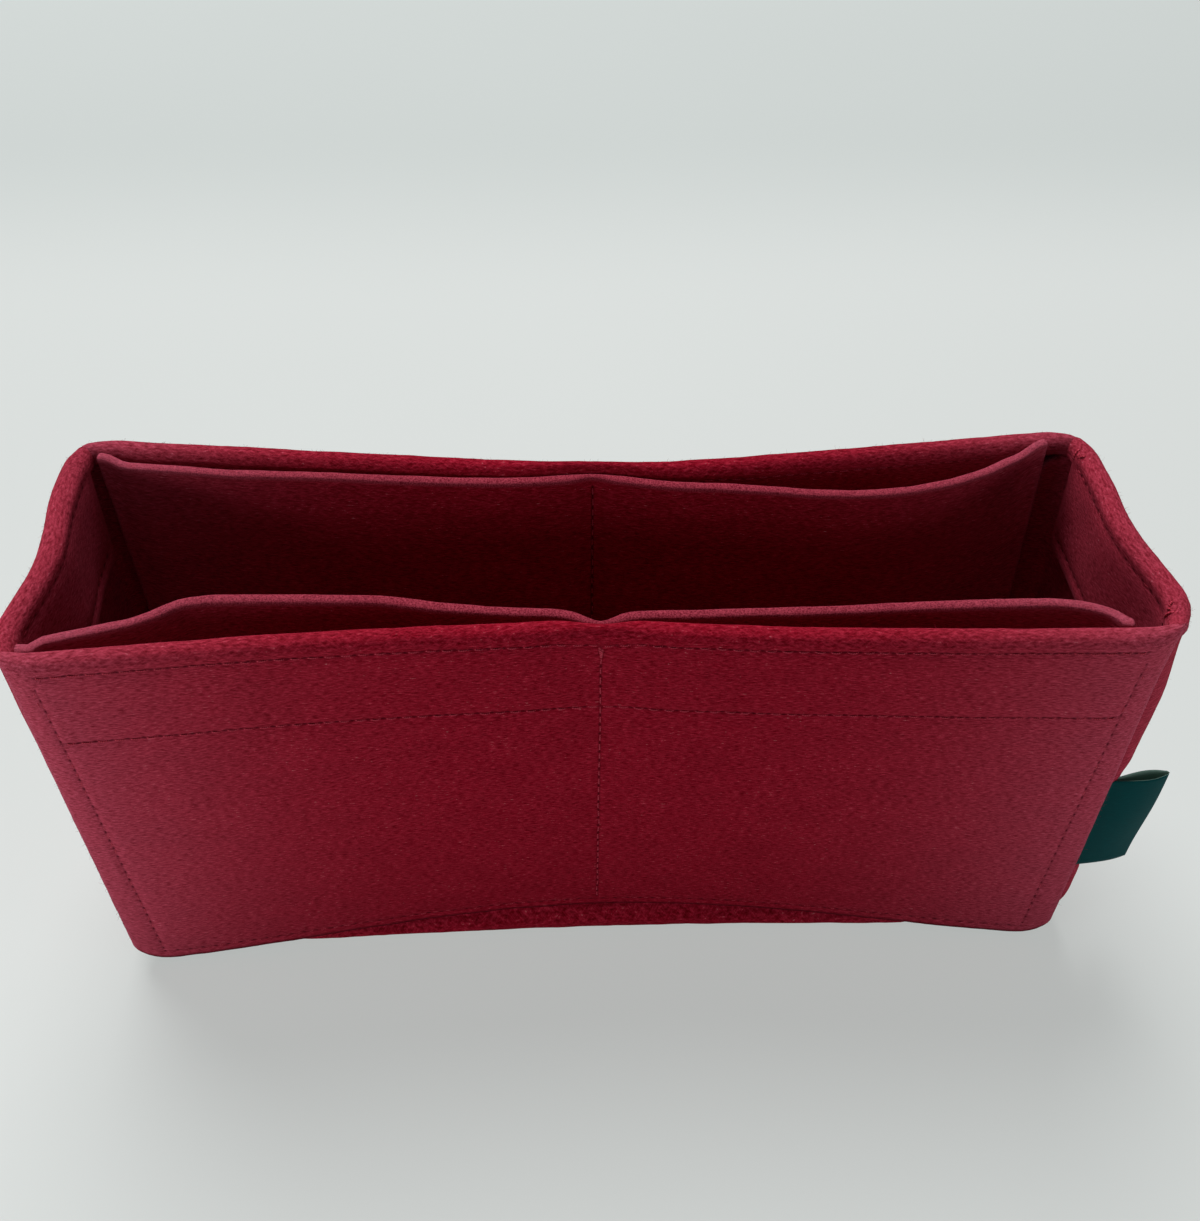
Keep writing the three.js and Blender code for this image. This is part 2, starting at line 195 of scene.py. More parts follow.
# Loose hairs: how many grow on the rim, on the face and along a wall's edges, in which ranges of the sheet,
# and their form
WALL_HAIRS = (
    (1700, (-WALL_HALF, WALL_HALF), (RIM_FOOT - 3, RIM_FOOT + FOLD_ARC)),
    (90, (-WALL_HALF + 4, WALL_HALF - 4), (5, RIM_FOOT)),
    (500, (WALL_HALF - 1.2, WALL_HALF - 0.2), (6, RIM_FOOT)),
)
END_HAIRS = (
    (700, (-GUSSET_HALF, GUSSET_HALF), (END_TOP - 4, END_TOP + FOLD_ARC)),
    (500, (-GUSSET_HALF, GUSSET_HALF), (END_START, END_TOP)),
)
HAIR_LENGTH, HAIR_LENGTH_LIMITS = (3.0, 0.2), (0.25, 1.3)
HAIR_RISE, HAIR_FLATNESS, HAIR_BEND, HAIR_ROOT = (0.25, 1.0), 0.6, 0.7, 0.15
HAIR_RADII, HAIR_SIDES, HAIR_RINGS = (0.03, 0.012), 3, 5
OFF_LINE = 0.01

# The felt's surface: grooves along the seams, lumps as (height, size), and how far a cut edge shows
GROOVE_DEPTH, GROOVE_WIDTH, GROOVE_BEADS = 0.5, 1.0, 0.3
LUMPS = ((0.07, 2.2), (0.15, 8.0))
RAW_REACH = (0.5, 1.7)
# How fast the painted pale sheen grows toward the ends, and its share on the gusset
PAINTED_SHEEN_POWER, GUSSET_PAINTED_SHEEN = 3.5, 0.5
SEAM_FAR = 3.0

# Fineness of the felt meshes: stations on rounded edges and grooves are shares of their sizes
PITCH, GUSSET_PITCH = 1.6, 2.0
EDGE_ROUND = 0.9
ROUND_STATIONS = (0, 0.4, 1)
GROOVE_STATIONS = (-1.5, -0.75, 0, 0.75, 1.5)
CLOSEST = 0.55
FOLD_STATIONS, BEND_STATIONS = 9, 6
BLUR_STATIONS = 9
FACE_STEP = 0.4
TINY = 1e-6

# Seeds of the random draws
WALL_SEEDS = {FRONT: 3, BACK: 11}
POCKET_SEED, POCKET_SEED_STEP, GUSSET_SEED = 20, 3, 40
BACKSTITCH_SEED, KNOT_SEED, INSIDE_SEED, END_SEED, TAIL_SEED = 60, 64, 70, 80, 90
ROW_SEED_STEP = 10
SPOT_SEED, WALL_HAIR_SEED, END_HAIR_SEED = 5, 20, 30


# Arithmetic on arrays of points

def smooth(x, start, end):
    """0 before start, 1 after end, smooth between."""
    share = np.clip((x - start) / (end - start), 0, 1)
    return share * share * (3 - 2 * share)


def mix(a, b, share):
    return a + (b - a) * share


def hump(x, span):
    """1 at the middle of a span, 0 at its ends and beyond."""
    return np.cos(np.pi * np.clip(np.abs(x) / span, 0, 0.5)) ** HUMP_POWER


def bell(x, width):
    return np.exp(-((x / width) ** 2))


def unit(vectors):
    return vectors / np.linalg.norm(vectors, axis=-1, keepdims=True)


def soft_line(x, knots, blur):
    """Height at x of a line through the knots, its corners softened over about blur."""
    at, height = np.array(sorted(knots)).T
    shifts = np.linspace(-1, 1, BLUR_STATIONS)
    weights = np.cos(shifts * np.pi / 2) ** 2
    lines = [w * np.interp(x + s * blur, at, height) for s, w in zip(shifts, weights)]
    return sum(lines) / weights.sum()


def ripple(points, size, seed):
    """Smooth noise of about -1 to 1 that varies over size."""
    shift = Vector((seed * 17.3, seed * 5.1, seed * 9.7))
    return np.array([noise.noise(Vector(p) / size + shift) for p in points])


# Where the soft felt lies

def wall_foot(x):
    """Height of a long wall's lower edge, which lifts off the table between the corners."""
    return WALL_LIFT + WALL_ARCH * hump(x - FOOT_BOW_SHIFT, WIDTH)


def wall_lean(front, x, z):
    """How far out of the straight box a long wall stands."""
    rim = np.where(front, soft_line(x, FRONT_RIM, RIM_BLUR), soft_line(x, BACK_RIM, RIM_BLUR)) - DEPTH / 2
    foot = -hump(x - FOOT_BOW_SHIFT, WIDTH) * np.where(front, FRONT_FOOT_BOW, BACK_FOOT_BOW)
    lean = mix(foot, rim, np.clip(z / HEIGHT, 0, 1))
    shoulder = wall_foot(x) - SHOULDER_TOP
    base = -BASE_BOW * hump(x - FOOT_BOW_SHIFT, BASE_BOW_SPAN)
    return mix(base, lean, smooth(z, shoulder - SHOULDER_RISE, shoulder))


def round_corner(x, y, z):
    """Rounds the box's upright corners in plan, toward the rim."""
    rounding = np.clip(z / PLAN_ROUNDING_TOP, 0, 1)
    ax = np.clip((np.abs(x) - WIDTH / 2 + PLAN_CORNER) / PLAN_CORNER, 0, 1)
    ay = np.clip((np.abs(y) - DEPTH / 2 + PLAN_CORNER) / PLAN_CORNER, 0, 1)
    in_x = ax * (1 - np.sqrt(1 - rounding * ay * ay / 2)) * PLAN_CORNER
    in_y = ay * (1 - np.sqrt(1 - rounding * ax * ax / 2)) * PLAN_CORNER
    return x - np.sign(x) * in_x, y - np.sign(y) * in_y


def by_end(x, values):
    """The left or the right end's value, by the sign of x."""
    return np.where(x < 0, values[LEFT], values[RIGHT])


def settle(x, y, z):
    """Moves points of the straight box to where the soft felt holds them."""
    front = y < 0
    side = np.where(front, FRONT, BACK)
    depth = DEPTH / 2 - np.abs(y)
    squeeze_width = np.where(front, FRONT_SQUEEZE_WIDTH, BACK_SQUEEZE_WIDTH)
    squeeze = CENTRE_SQUEEZE * bell(x, squeeze_width) * smooth(z, *SQUEEZE_RISE)
    squeezed = np.minimum(depth, POCKET_LAYER) * squeeze
    in_wall = np.minimum(1, np.abs(y) / (POCKET_FACE - FELT))
    end = np.where(x < 0, LEFT, RIGHT)
    skew = by_end(x, END_SKEWS) * y / (DEPTH / 2)
    bow = by_end(x, END_BOWS) * bell(y - END_BOW_PLACE, END_BOW_WIDTH)
    spread = (by_end(x, END_FLARES) + skew - bow) * z / HEIGHT
    round_x, round_y = round_corner(x, y, z)
    settled_x = round_x + end * np.abs(x) / (WIDTH / 2) * spread
    settled_y = round_y + side * in_wall * (wall_lean(front, x, z) + squeezed)
    return np.stack([settled_x, settled_y, z], axis=-1)


def over_fold(w, along, trimmed):
    """Path of a hem past the rim's foot: (depth from the outer face, height above the foot).
    trimmed is 1 where the flap is cut short."""
    radius = FOLD - w
    turn = np.pi * np.clip(along / FOLD_ARC, 0, 1)
    drop = np.maximum(along - FOLD_ARC, 0) * (1 - TRIM_SHARE * trimmed)
    return FOLD - radius * np.cos(turn), radius * np.sin(turn) - drop


# Sheets of felt

def stations(start, end, pitch, marks=(), square=()):
    """Even stations, with closer ones at the rounded ends and beside the marks."""
    count = max(2, round((end - start) / pitch))
    even = list(np.linspace(start, end, count + 1))
    rounding = []
    for side, edge, inward in (("low", start, 1), ("high", end, -1)):
        if side not in square:
            rounding += [edge + inward * EDGE_ROUND * s for s in ROUND_STATIONS]
    beside = [m + s * GROOVE_WIDTH for m in marks for s in GROOVE_STATIONS]
    beside = [b for b in beside if start + EDGE_ROUND < b < end - EDGE_ROUND]
    close = rounding + beside
    far = [e for e in even if all(abs(e - c) > CLOSEST for c in close)]
    return np.sort(far + close)


def slab(us, vs, thick, rounding, square=()):
    """A closed sheet on a grid of stations, its edges rounded but for the square ones.
    Gives points (u, v, w), their outward directions, quads, and which quads close the square edges."""
    nu, nv = len(us), len(vs)
    grid = np.stack(np.meshgrid(us, vs), axis=-1).reshape(-1, 2)
    index = np.arange(nu * nv).reshape(nv, nu)
    rim = np.concatenate([index[0, :-1], index[:-1, -1], index[-1, :0:-1], index[:0:-1, 0]])
    levels = (rounding, thick / 2, thick - rounding)
    parts = [np.column_stack([grid, np.full(len(grid), w)]) for w in (0, thick)]
    loops = [rim]
    for k, level in enumerate(levels):
        parts.append(np.column_stack([grid[rim], np.full(len(rim), level)]))
        loops.append(2 * len(grid) + k * len(rim) + np.arange(len(rim)))
    loops.append(rim + len(grid))
    points = np.concatenate(parts)
    low = np.array([us[0], vs[0], 0]) + rounding
    high = np.array([us[-1], vs[-1], thick]) - rounding
    low[0] -= rounding * ("low" in square)
    high[0] += rounding * ("high" in square)
    core = np.clip(points, low, high)
    out = points - core
    length = np.linalg.norm(out, axis=1, keepdims=True)
    out = np.divide(out, length, out=np.zeros_like(out), where=length > TINY)
    points = core + rounding * out
    cells = np.stack([index[:-1, :-1], index[:-1, 1:], index[1:, 1:], index[1:, :-1]], axis=-1)
    cells = cells.reshape(-1, 4)
    quads = [cells, cells[:, ::-1] + len(grid)]
    for a, b in zip(loops, loops[1:]):
        quads.append(np.stack([a, b, np.roll(b, -1), np.roll(a, -1)], axis=-1))
    quads = np.concatenate(quads)
    closing = np.zeros(len(quads), bool)
    for side, edge in (("low", us[0]), ("high", us[-1])):
        if side in square:
            closing |= (np.abs(points[quads, 0] - edge) < TINY).all(axis=1)
    return points, out, quads, closing


def faces_out(points, quads):
    """The quads as lists, turned round where the body is inside out."""
    a, b, c, d = (points[quads[:, k]] for k in range(4))
    volume = (a * np.cross(b, c)).sum() + (a * np.cross(c, d)).sum()
    return (quads if volume > 0 else quads[:, ::-1]).tolist()


def add_object(name, data):
    added = bpy.data.objects.new(name, data)
    bpy.context.scene.collection.objects.link(added)
    return added


def make_object(name, points, faces, material):
    """A smooth-shaded mesh object from points in millimetres."""
    mesh = bpy.data.meshes.new(name)
    mesh.from_pydata((points * MM).tolist(), [], faces)
    mesh.polygons.foreach_set("use_smooth", np.ones(len(mesh.polygons), bool))
    mesh.materials.append(material)
    return add_object(name, mesh)


def keep_attribute(piece, name, values):
    """Keeps a number or a vector for each point of a mesh."""
    kind, field = ("FLOAT", "value") if values.ndim == 1 else ("FLOAT_VECTOR", "vector")
    attribute = piece.data.attributes.new(name, kind, "POINT")
    attribute.data.foreach_set(field, values.astype(np.float32).ravel())


def sharpen(piece, closing):
    """Sharp edges round the quads that close a square edge, so that its neighbour's shading runs on."""
    mesh = piece.data
    edges = np.zeros(len(mesh.loops), np.int32)
    mesh.loops.foreach_get("edge_index", edges)
    edges = edges.reshape(-1, 4)
    count = len(mesh.edges)
    border = np.bincount(edges[closing].ravel(), minlength=count) > 0
    border &= np.bincount(edges[~closing].ravel(), minlength=count) > 0
    mesh.attributes.new("sharp_edge", "BOOLEAN", "EDGE").data.foreach_set("value", border)


def nearest_seam(u, v, seams):
    """For each point of a sheet, the distance from the nearest seam and the stitches along it."""
    best = np.full(len(u), np.inf)
    along = np.zeros(len(u))
    for u0, v0, u1, v1 in seams:
        length = math.hypot(u1 - u0, v1 - v0)
        share = np.clip(((u - u0) * (u1 - u0) + (v - v0) * (v1 - v0)) / length ** 2, 0, 1)
        distance = np.hypot(u - mix(u0, u1, share), v - mix(v0, v1, share))
        nearer = distance < best
        along = np.where(nearer, share * stitch_count(length), along)
        best = np.where(nearer, distance, best)
    return best, along


def stitch_count(length):
    return max(1, round(length / STITCH))


def felt_sheet(name, us, vs, place, material, seams, raw, seed, square=(), inner=False, grain=None,
               painted_sheen=1.0):
    """A piece of felt cut to us by vs and bent by place(u, v, w), with the felt's uneven face.
    The seams dent its outer face, stitch by stitch, or its inner one, in one line. raw(u, v) is 1 at its
    cut edges and -1 at an edge that gets a painted shade line, grain turns the points where the fibres
    don't lie along u, and the last argument sets the share of the painted pale sheen toward the ends."""
    cut, out, quads, closing = slab(us, vs, FELT, EDGE_ROUND, square)
    u, v, w = cut.T
    lumps = sum(height * ripple(cut, size, seed + k) for k, (height, size) in enumerate(LUMPS))
    distance, along = nearest_seam(u, v, seams)
    sewn_face = (w > FELT / 2) == inner
    beads = 1 - GROOVE_BEADS + GROOVE_BEADS * np.cos(2 * np.pi * along)
    lumps -= GROOVE_DEPTH * bell(distance, GROOVE_WIDTH) * beads * sewn_face
    points = place(*(cut + out * lumps[:, None]).T)
    piece = make_object(name, points, faces_out(points, quads), material)
    if square:
        sharpen(piece, closing)
    keep_attribute(piece, "cut", grain(cut) if grain else cut)
    # Painted pale sheen, growing toward the ends
    toward_end = np.minimum(np.abs(points[:, 0]) / (WIDTH / 2), 1)
    keep_attribute(piece, "painted_sheen", painted_sheen * toward_end ** PAINTED_SHEEN_POWER)
    # 1 on raw cut edges, -1 on an edge that gets a painted shade line
    keep_attribute(piece, "raw_edge_and_painted_shade", raw(u, v))
    needle = np.column_stack([along * (not inner), np.minimum(distance, SEAM_FAR), sewn_face])
    keep_attribute(piece, "needle", needle)
    return piece


def near_edge(distance):
    """1 on a cut edge, fading over the felt's rounded corner."""
    return 1 - smooth(distance, *RAW_REACH)


# Long walls

def lower_edge(x):
    """Height of a long wall's cut lower edge, with its rounded corners."""
    past = np.clip(np.abs(x) - (WALL_HALF - WALL_CORNER), 0, WALL_CORNER)
    return wall_foot(x) + WALL_CORNER - np.sqrt(WALL_CORNER ** 2 - past ** 2)


def wall_place(side):
    """Place of a point of a long wall: u is x, v runs up the outside, over the rim and down the flap."""
    def place(u, v, w):
        v_up = np.minimum(v, RIM_FOOT)
        z_up = v_up + lower_edge(u) * np.clip(1 - v_up / LOWER_ZONE, 0, 1)
        depth, height = over_fold(w, np.maximum(v - RIM_FOOT, 0), smooth(np.abs(u), *WALL_TRIM))
        over = v > RIM_FOOT
        depth = np.where(over, depth, w)
        z = z_up + np.where(over, height, 0)
        reach = CORNER_REACH * (side == FRONT) * smooth(u, *REACH_ALONG) * smooth(z, *REACH_UP)
        return settle(u + reach, side * (DEPTH / 2 - depth), z)
    return place


def flap_row(below):
    """Distance along a folded sheet, past the rim's foot, of a row sewn below the rim."""
    return FOLD_ARC + below - FOLD


def level_row(half, v):
    return -half, v, half, v


def dipped_row(half, height):
    """A row of stitches from end to end that dips where the middle seam pulls the rim in."""
    dip = [(-ROW_DIP_HALF, height), (0, height - ROW_DIP), (ROW_DIP_HALF, height)]
    spots = [(-half, height), *dip, (half, height)]
    return [(*a, *b) for a, b in zip(spots, spots[1:])]


def wall_seams():
    """Seams on a long wall's outer face and on its flap, by the node that they stand for."""
    rim_flap, hem_flap = (level_row(FLAP_ROW_HALF, RIM_FOOT + flap_row(below))
                          for below in (RIM_STITCH, HEM_STITCH))
    edges = [(end * EDGE_HALF, EDGE_SEAM_TOP, end * EDGE_HALF, SEAM_BOTTOM) for end in (LEFT, RIGHT)]
    return {
        "rim_stitching": [*dipped_row(ROW_HALF, HEIGHT - RIM_STITCH), rim_flap],
        "hem_stitching": [level_row(ROW_HALF, HEIGHT - HEM_STITCH), hem_flap],
        "edge_seam": [*edges, level_row(EDGE_HALF, FOOT_STITCH)],
        "middle_seam": [(0, MIDDLE_SEAM_TOP, 0, SEAM_BOTTOM)],
    }


def long_wall(name, side, material):
    us = stations(-WALL_HALF, WALL_HALF, PITCH, (-EDGE_HALF, 0, EDGE_HALF))
    reach = RIM_FOOT + FOLD_ARC + FLAP
    fold = np.linspace(RIM_FOOT, RIM_FOOT + FOLD_ARC, FOLD_STATIONS)[1:-1]
    marks = (FOOT_STITCH, HEIGHT - HEM_STITCH, HEIGHT - RIM_STITCH)
    vs = np.sort([*stations(0, reach, PITCH, marks), *fold])

    def raw(u, v):
        # Raw cut edges are 1; the lower edge is -1, for a painted shade line along it
        return near_edge(np.minimum(WALL_HALF - np.abs(u), reach - v)) - near_edge(v)

    lines = [line for rows in wall_seams().values() for line in rows]
    piece = felt_sheet(f"{name}_felt", us, vs, wall_place(side), material, lines, raw, WALL_SEEDS[side])
    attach(piece, "insert_body")
    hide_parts(name)


# Gusset

def gusset_section(a, w):
    """Across the strip: (distance from the middle, depth from the outer face)."""
    turn = np.clip((np.abs(a) - GUSSET_FLAT) / BEND_ARC, 0, 1) * np.pi / 2
    past = np.maximum(np.abs(a) - GUSSET_FLAT - BEND_ARC, 0)
    radius = FLANGE_BEND - w
    across = np.minimum(np.abs(a), GUSSET_FLAT) + radius * np.sin(turn)
    depth = FLANGE_BEND - radius * np.cos(turn) + past
    return np.sign(a) * across, depth


def gusset_place(a, q, w):
    """Place of a point of the gusset: a runs across the strip, q from the middle of the base to each end.
    Under the rim the flanges are trimmed, and the strip runs straight up to the walls."""
    end = np.where(q < 0, LEFT, RIGHT)
    along = np.abs(q)
    across, depth = gusset_section(a, w)
    squeezed = (GUSSET_HALF - STRAIGHT_PART) / (GUSSET_REACH - STRAIGHT_PART)
    straight = np.minimum(np.abs(a), STRAIGHT_PART) + np.maximum(np.abs(a) - STRAIGHT_PART, 0) * squeezed
    trimmed = smooth(along, *FLANGE_TRIM)
    across = mix(across, np.sign(a) * straight, trimmed)
    depth = mix(depth, w, trimmed)
    turn = np.clip((along - FLOOR_HALF) / CORNER_ARC, 0, 1) * np.pi / 2
    radius = GUSSET_CORNER - depth
    out = np.minimum(along, FLOOR_HALF) + radius * np.sin(turn)
    z = GUSSET_CORNER - radius * np.cos(turn) + np.clip(along - END_START, 0, END_TOP - END_START)
    past = np.maximum(along - END_TOP, 0)
    fold_depth, fold_height = over_fold(w, past, smooth(np.abs(a), *GUSSET_TRIM))
    over = along > END_TOP
    out = np.where(over, WIDTH / 2 - fold_depth, out)
    z = np.where(over, RIM_FOOT + fold_height, z)
    point = settle(end * out, across, z)
    step = mix(by_end(q, FRONT_STEPS), by_end(q, BACK_STEPS), smooth(across, *STEP_FADE))
    front_corner = smooth(-across, *DRAW_ACROSS) * smooth(z, *DRAW_UP)
    below, above = LABEL_BOTTOM - z, z - LABEL_BOTTOM - LABEL_TALL
    beside_label = (1 - smooth(below, 0, LABEL_DRAW_RISE)) * (1 - smooth(above, 0, LABEL_DRAW_RISE))
    step = step * (1 - CORNER_DRAW * front_corner) * (1 - LABEL_DRAW * beside_label)
    point[:, 0] += end * step * smooth(along, FLOOR_HALF, END_START)
    return point


def end_seams(end):
    """Seams on one end's outer face and on its flap, by the node that they stand for."""
    rows = {}
    for part, below in (("rim_stitching", RIM_STITCH), ("hem_stitching", HEM_STITCH)):
        outside = end * (END_START - GUSSET_CORNER + HEIGHT - below)
        flap = end * (END_TOP + flap_row(below))
        rows[part] = [level_row(END_ROW_HALF, outside), level_row(END_ROW_HALF, flap)]
    return rows


def gusset(material):
    reach = END_TOP + FOLD_ARC + FLAP
    lines = [line for end in (LEFT, RIGHT) for rows in end_seams(end).values() for line in rows]
    fold = np.linspace(END_TOP, END_TOP + FOLD_ARC, FOLD_STATIONS)[1:-1]
    marks = [line[1] for line in lines]
    qs = np.sort([*stations(-reach, reach, GUSSET_PITCH, marks), *fold, *-fold])
    bends = np.linspace(GUSSET_FLAT, GUSSET_FLAT + BEND_ARC, BEND_STATIONS)
    across = np.sort([*stations(-GUSSET_REACH, GUSSET_REACH, PITCH), *bends, *-bends])

    def raw(a, q):
        return near_edge(np.minimum(GUSSET_REACH - np.abs(a), reach - np.abs(q)))

    def grain(cut):
        on_base = np.abs(cut[:, 1:2]) < FLOOR_HALF
        return np.where(on_base, cut[:, [1, 0, 2]], cut)

    # The gusset gets a weaker painted pale sheen
    piece = felt_sheet("gusset_felt", across, qs, gusset_place, material, lines, raw, GUSSET_SEED,
                       grain=grain, painted_sheen=GUSSET_PAINTED_SHEEN)
    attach(piece, "insert_body")
    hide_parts("gusset")


# Pockets

def mouth_line(knots):
    """Top edge of an inner panel in plan: stations along it, their places (distance from the middle, gap)
    and its length. It runs on past both ends."""
    corners = np.array(knots, float)
    before = corners[0] - (MOUTH_LEAD, 0)
    after = corners[-1] + MOUTH_LEAD * unit(corners[-1] - corners[-2])
    corners = np.vstack([before, corners, after])
    steps = np.linalg.norm(np.diff(corners, axis=0), axis=1)
    turns = np.concatenate([[0], np.cumsum(steps)]) - MOUTH_LEAD
    along = np.linspace(turns[0], turns[-1], MOUTH_STATIONS)
    places = np.stack([soft_line(along, list(zip(turns, c)), MOUTH_BLUR) for c in corners.T])
    return along, places, turns[-2]


def pocket_place(name):
    """Place of a point of an inner panel: u runs along it from the middle seam, v is the height."""
    side, end, end_rise, _, knots = POCKETS[name]
    along, places, length = mouth_line(knots)
    slopes = np.gradient(places, along, axis=1)

    def place(u, v, w):
        rise = np.clip((v - POCKET_FOOT) / (POCKET_TOP - POCKET_FOOT), 0, 1) ** POCKET_RISE_POWER
        top_x, top_gap = (np.interp(u, along, c) for c in places)
        slope_x, slope_gap = (np.interp(u, along, c) for c in slopes)
        run_x = mix(POCKET_HALF / length, slope_x, rise)
        run_gap = slope_gap * rise
        thick = w * mix(SEAM_PINCH, 1, smooth(u, 0, PINCH_REACH)) / np.hypot(run_x, run_gap)
        x = mix(u * POCKET_HALF / length, top_x, rise) - run_gap * thick
        point = settle(end * x, np.full_like(x, side * POCKET_FACE), v)
        point[:, 1] -= side * (top_gap * rise + run_x * thick)
        point[:, 2] += end_rise * rise * smooth(u, length - END_RISE_START, length - END_RISE_FULL)
        return point
    return place


def pocket(name, material, seed):
    """Half of an inner panel, in two pieces that meet at the widest part of its mouth."""
    side, end, _, widest, knots = POCKETS[name]
    place = pocket_place(name)
    along, places, length = mouth_line(knots)
    rising = along < widest + MOUTH_LEAD
    split = np.interp(widest, places[0][rising], along[rising])
    vs = stations(POCKET_FOOT, POCKET_TOP, PITCH)

    def raw(u, v):
        return near_edge(np.minimum.reduce([length - u, v - POCKET_FOOT, POCKET_TOP - v]))

    for part, edge, sewn, square in (("end_side", length, knots[-1][0], ("low",)),
                                     ("seam_side", 0.0, 0.0, ("low", "high"))):
        low, high = sorted((edge, split))
        us = stations(low, high, PITCH, (BESIDE_SEAM,) if sewn == 0 else (), square)
        piece = felt_sheet(f"{name}_{part}", us, vs, place, material, [MIDDLE_INSIDE], raw, seed, square,
                           inner=True)
        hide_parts(name)
        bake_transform(piece)


# Ribbon label

def label_place(u, v, w):
    """Place of a point of the ribbon: u runs along it from seam to seam, v up it."""
    out = LABEL_OUT - np.abs(u)
    share = np.clip(out / LABEL_OUT, 0, 1)
    rise = np.clip((v - LABEL_BOTTOM) / LABEL_TALL, 0, 1)
    eye = LABEL_EYE * mix(EYE_AT_FOOT, 1, rise) * np.sin(np.pi * share ** EYE_SKEW) ** EYE_POWER / 2
    out += TIP_OUT * np.sqrt(np.clip(1 - (np.abs(u) / TIP_HALF) ** 2, 0, 1))
    across = np.sign(u) * (eye + RIBBON + LAYER_GAP / 2 - w)
    across += SWAY * np.sin(rise * SWAY_TURN + SWAY_START) * share
    lean_x = np.cos(LABEL_LEAN) * out - np.sin(LABEL_LEAN) * across
    lean_y = np.sin(LABEL_LEAN) * out + np.cos(LABEL_LEAN) * across
    seam_x = WALL_HALF + LAYER_GAP + RIBBON
    seam_y = -DEPTH / 2 + FELT + RIBBON + LAYER_GAP / 2
    return settle(seam_x + lean_x, seam_y + lean_y, v)


def label(material):
    us = np.linspace(-LABEL_OUT, LABEL_OUT, RIBBON_COLUMNS)
    vs = np.linspace(LABEL_BOTTOM, LABEL_BOTTOM + LABEL_TALL, RIBBON_ROWS)
    cut, _, quads, _ = slab(us, vs, RIBBON, RIBBON_ROUND)
    points = label_place(*cut.T)
    piece = make_object("label_ribbon", points, faces_out(points, quads), material)
    keep_attribute(piece, "cut", cut)
    middle = LABEL_BOTTOM + LABEL_TALL / 2
    sewn, fold = label_place(np.array([LABEL_OUT, 0.0]), np.full(2, middle), np.full(2, RIBBON)) * MM
    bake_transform(piece)
    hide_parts("label")


# Threads and loose fibres

def face_of(place, u, v, w):
    """Points of a bent sheet's face, with the directions along u and v and straight out."""
    level = np.full(len(u), float(w))
    here = place(u, v, level)
    du = unit(place(u + FACE_STEP, v, level) - place(u - FACE_STEP, v, level))
    dv = unit(place(u, v + FACE_STEP, level) - place(u, v - FACE_STEP, level))
    up = unit(np.cross(du, dv))
    deeper = place(u, v, FELT - level) - here
    return here, du, dv, up * -np.sign((up * deeper).sum(axis=1, keepdims=True))


def tubes(centres, ups, radii, sides):
    """Closed tubes along rows of centre points: points and faces."""
    count, rings, _ = centres.shape
    along = unit(np.gradient(centres, axis=1))
    across = unit(np.cross(along, ups))
    lift = np.cross(across, along)
    angle = np.linspace(0, 2 * np.pi, sides, endpoint=False)
    ring = across[:, :, None] * np.cos(angle)[:, None] + lift[:, :, None] * np.sin(angle)[:, None]
    points = centres[:, :, None] + radii[:, :, None, None] * ring
    index = np.arange(count * rings * sides).reshape(count, rings, sides)
    turned = np.roll(index, -1, axis=2)
    walls = np.stack([index[:, :-1], turned[:, :-1], turned[:, 1:], index[:, 1:]], axis=-1)
    caps = np.concatenate([index[:, 0, ::-1], index[:, -1]])
    return points.reshape(-1, 3), walls.reshape(-1, 4).tolist() + caps.tolist()


def stitch_run(place, seam, seed, inner=False, shift=0.0, sunk=0.0, radius=THREAD_RADIUS):
    """Centre lines, outward directions and radii of one seam's stitches, sunk into the felt's face."""
    rng = np.random.default_rng(seed)
    u0, v0, u1, v1 = seam
    count = stitch_count(math.hypot(u1 - u0, v1 - v0))
    steps = np.linspace(0, 1, count + 1)
    holes = np.column_stack([mix(u0, u1, steps) + shift, mix(v0, v1, steps)])
    holes += rng.normal(0, HOLE_WANDER, holes.shape)
    share = np.linspace(0, 1, THREAD_RINGS)
    start, end = holes[:-1], holes[1:]
    flat = start[:, None] + (end - start)[:, None] * mix(*STITCH_SPAN, share)[None, :, None]
    u, v = flat.reshape(-1, 2).T
    here, _, _, up = face_of(place, u, v, FELT if inner else 0)
    arch = np.sin(np.pi * share) ** STITCH_ARCH
    slack = rng.uniform(*STITCH_SLACK, (count, 1))
    height = mix(STITCH_ENDS, STITCH_TOP * slack, arch) - sunk
    centres = (here + up * height.reshape(-1, 1)).reshape(count, THREAD_RINGS, 3)
    return centres, up.reshape(centres.shape), np.full((count, THREAD_RINGS), radius)


def stitches(name, node, runs, material):
    """One piece of all the runs, with the place on the thread kept for its twist: along, around, which."""
    centres, ups, radii = (np.concatenate(parts) for parts in zip(*runs))
    points, faces = tubes(centres, ups, radii, THREAD_SIDES)
    piece = make_object(name, points, faces, material)
    along = np.linspace(0, STITCH, THREAD_RINGS)
    around = np.arange(THREAD_SIDES) * 2 * np.pi * THREAD_RADIUS / THREAD_SIDES
    twist = np.stack(np.meshgrid(along, around, np.arange(len(centres)), indexing="ij"), axis=-1)
    keep_attribute(piece, "cut", twist.transpose(2, 0, 1, 3))
    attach(piece, "insert_body")
    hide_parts(node)


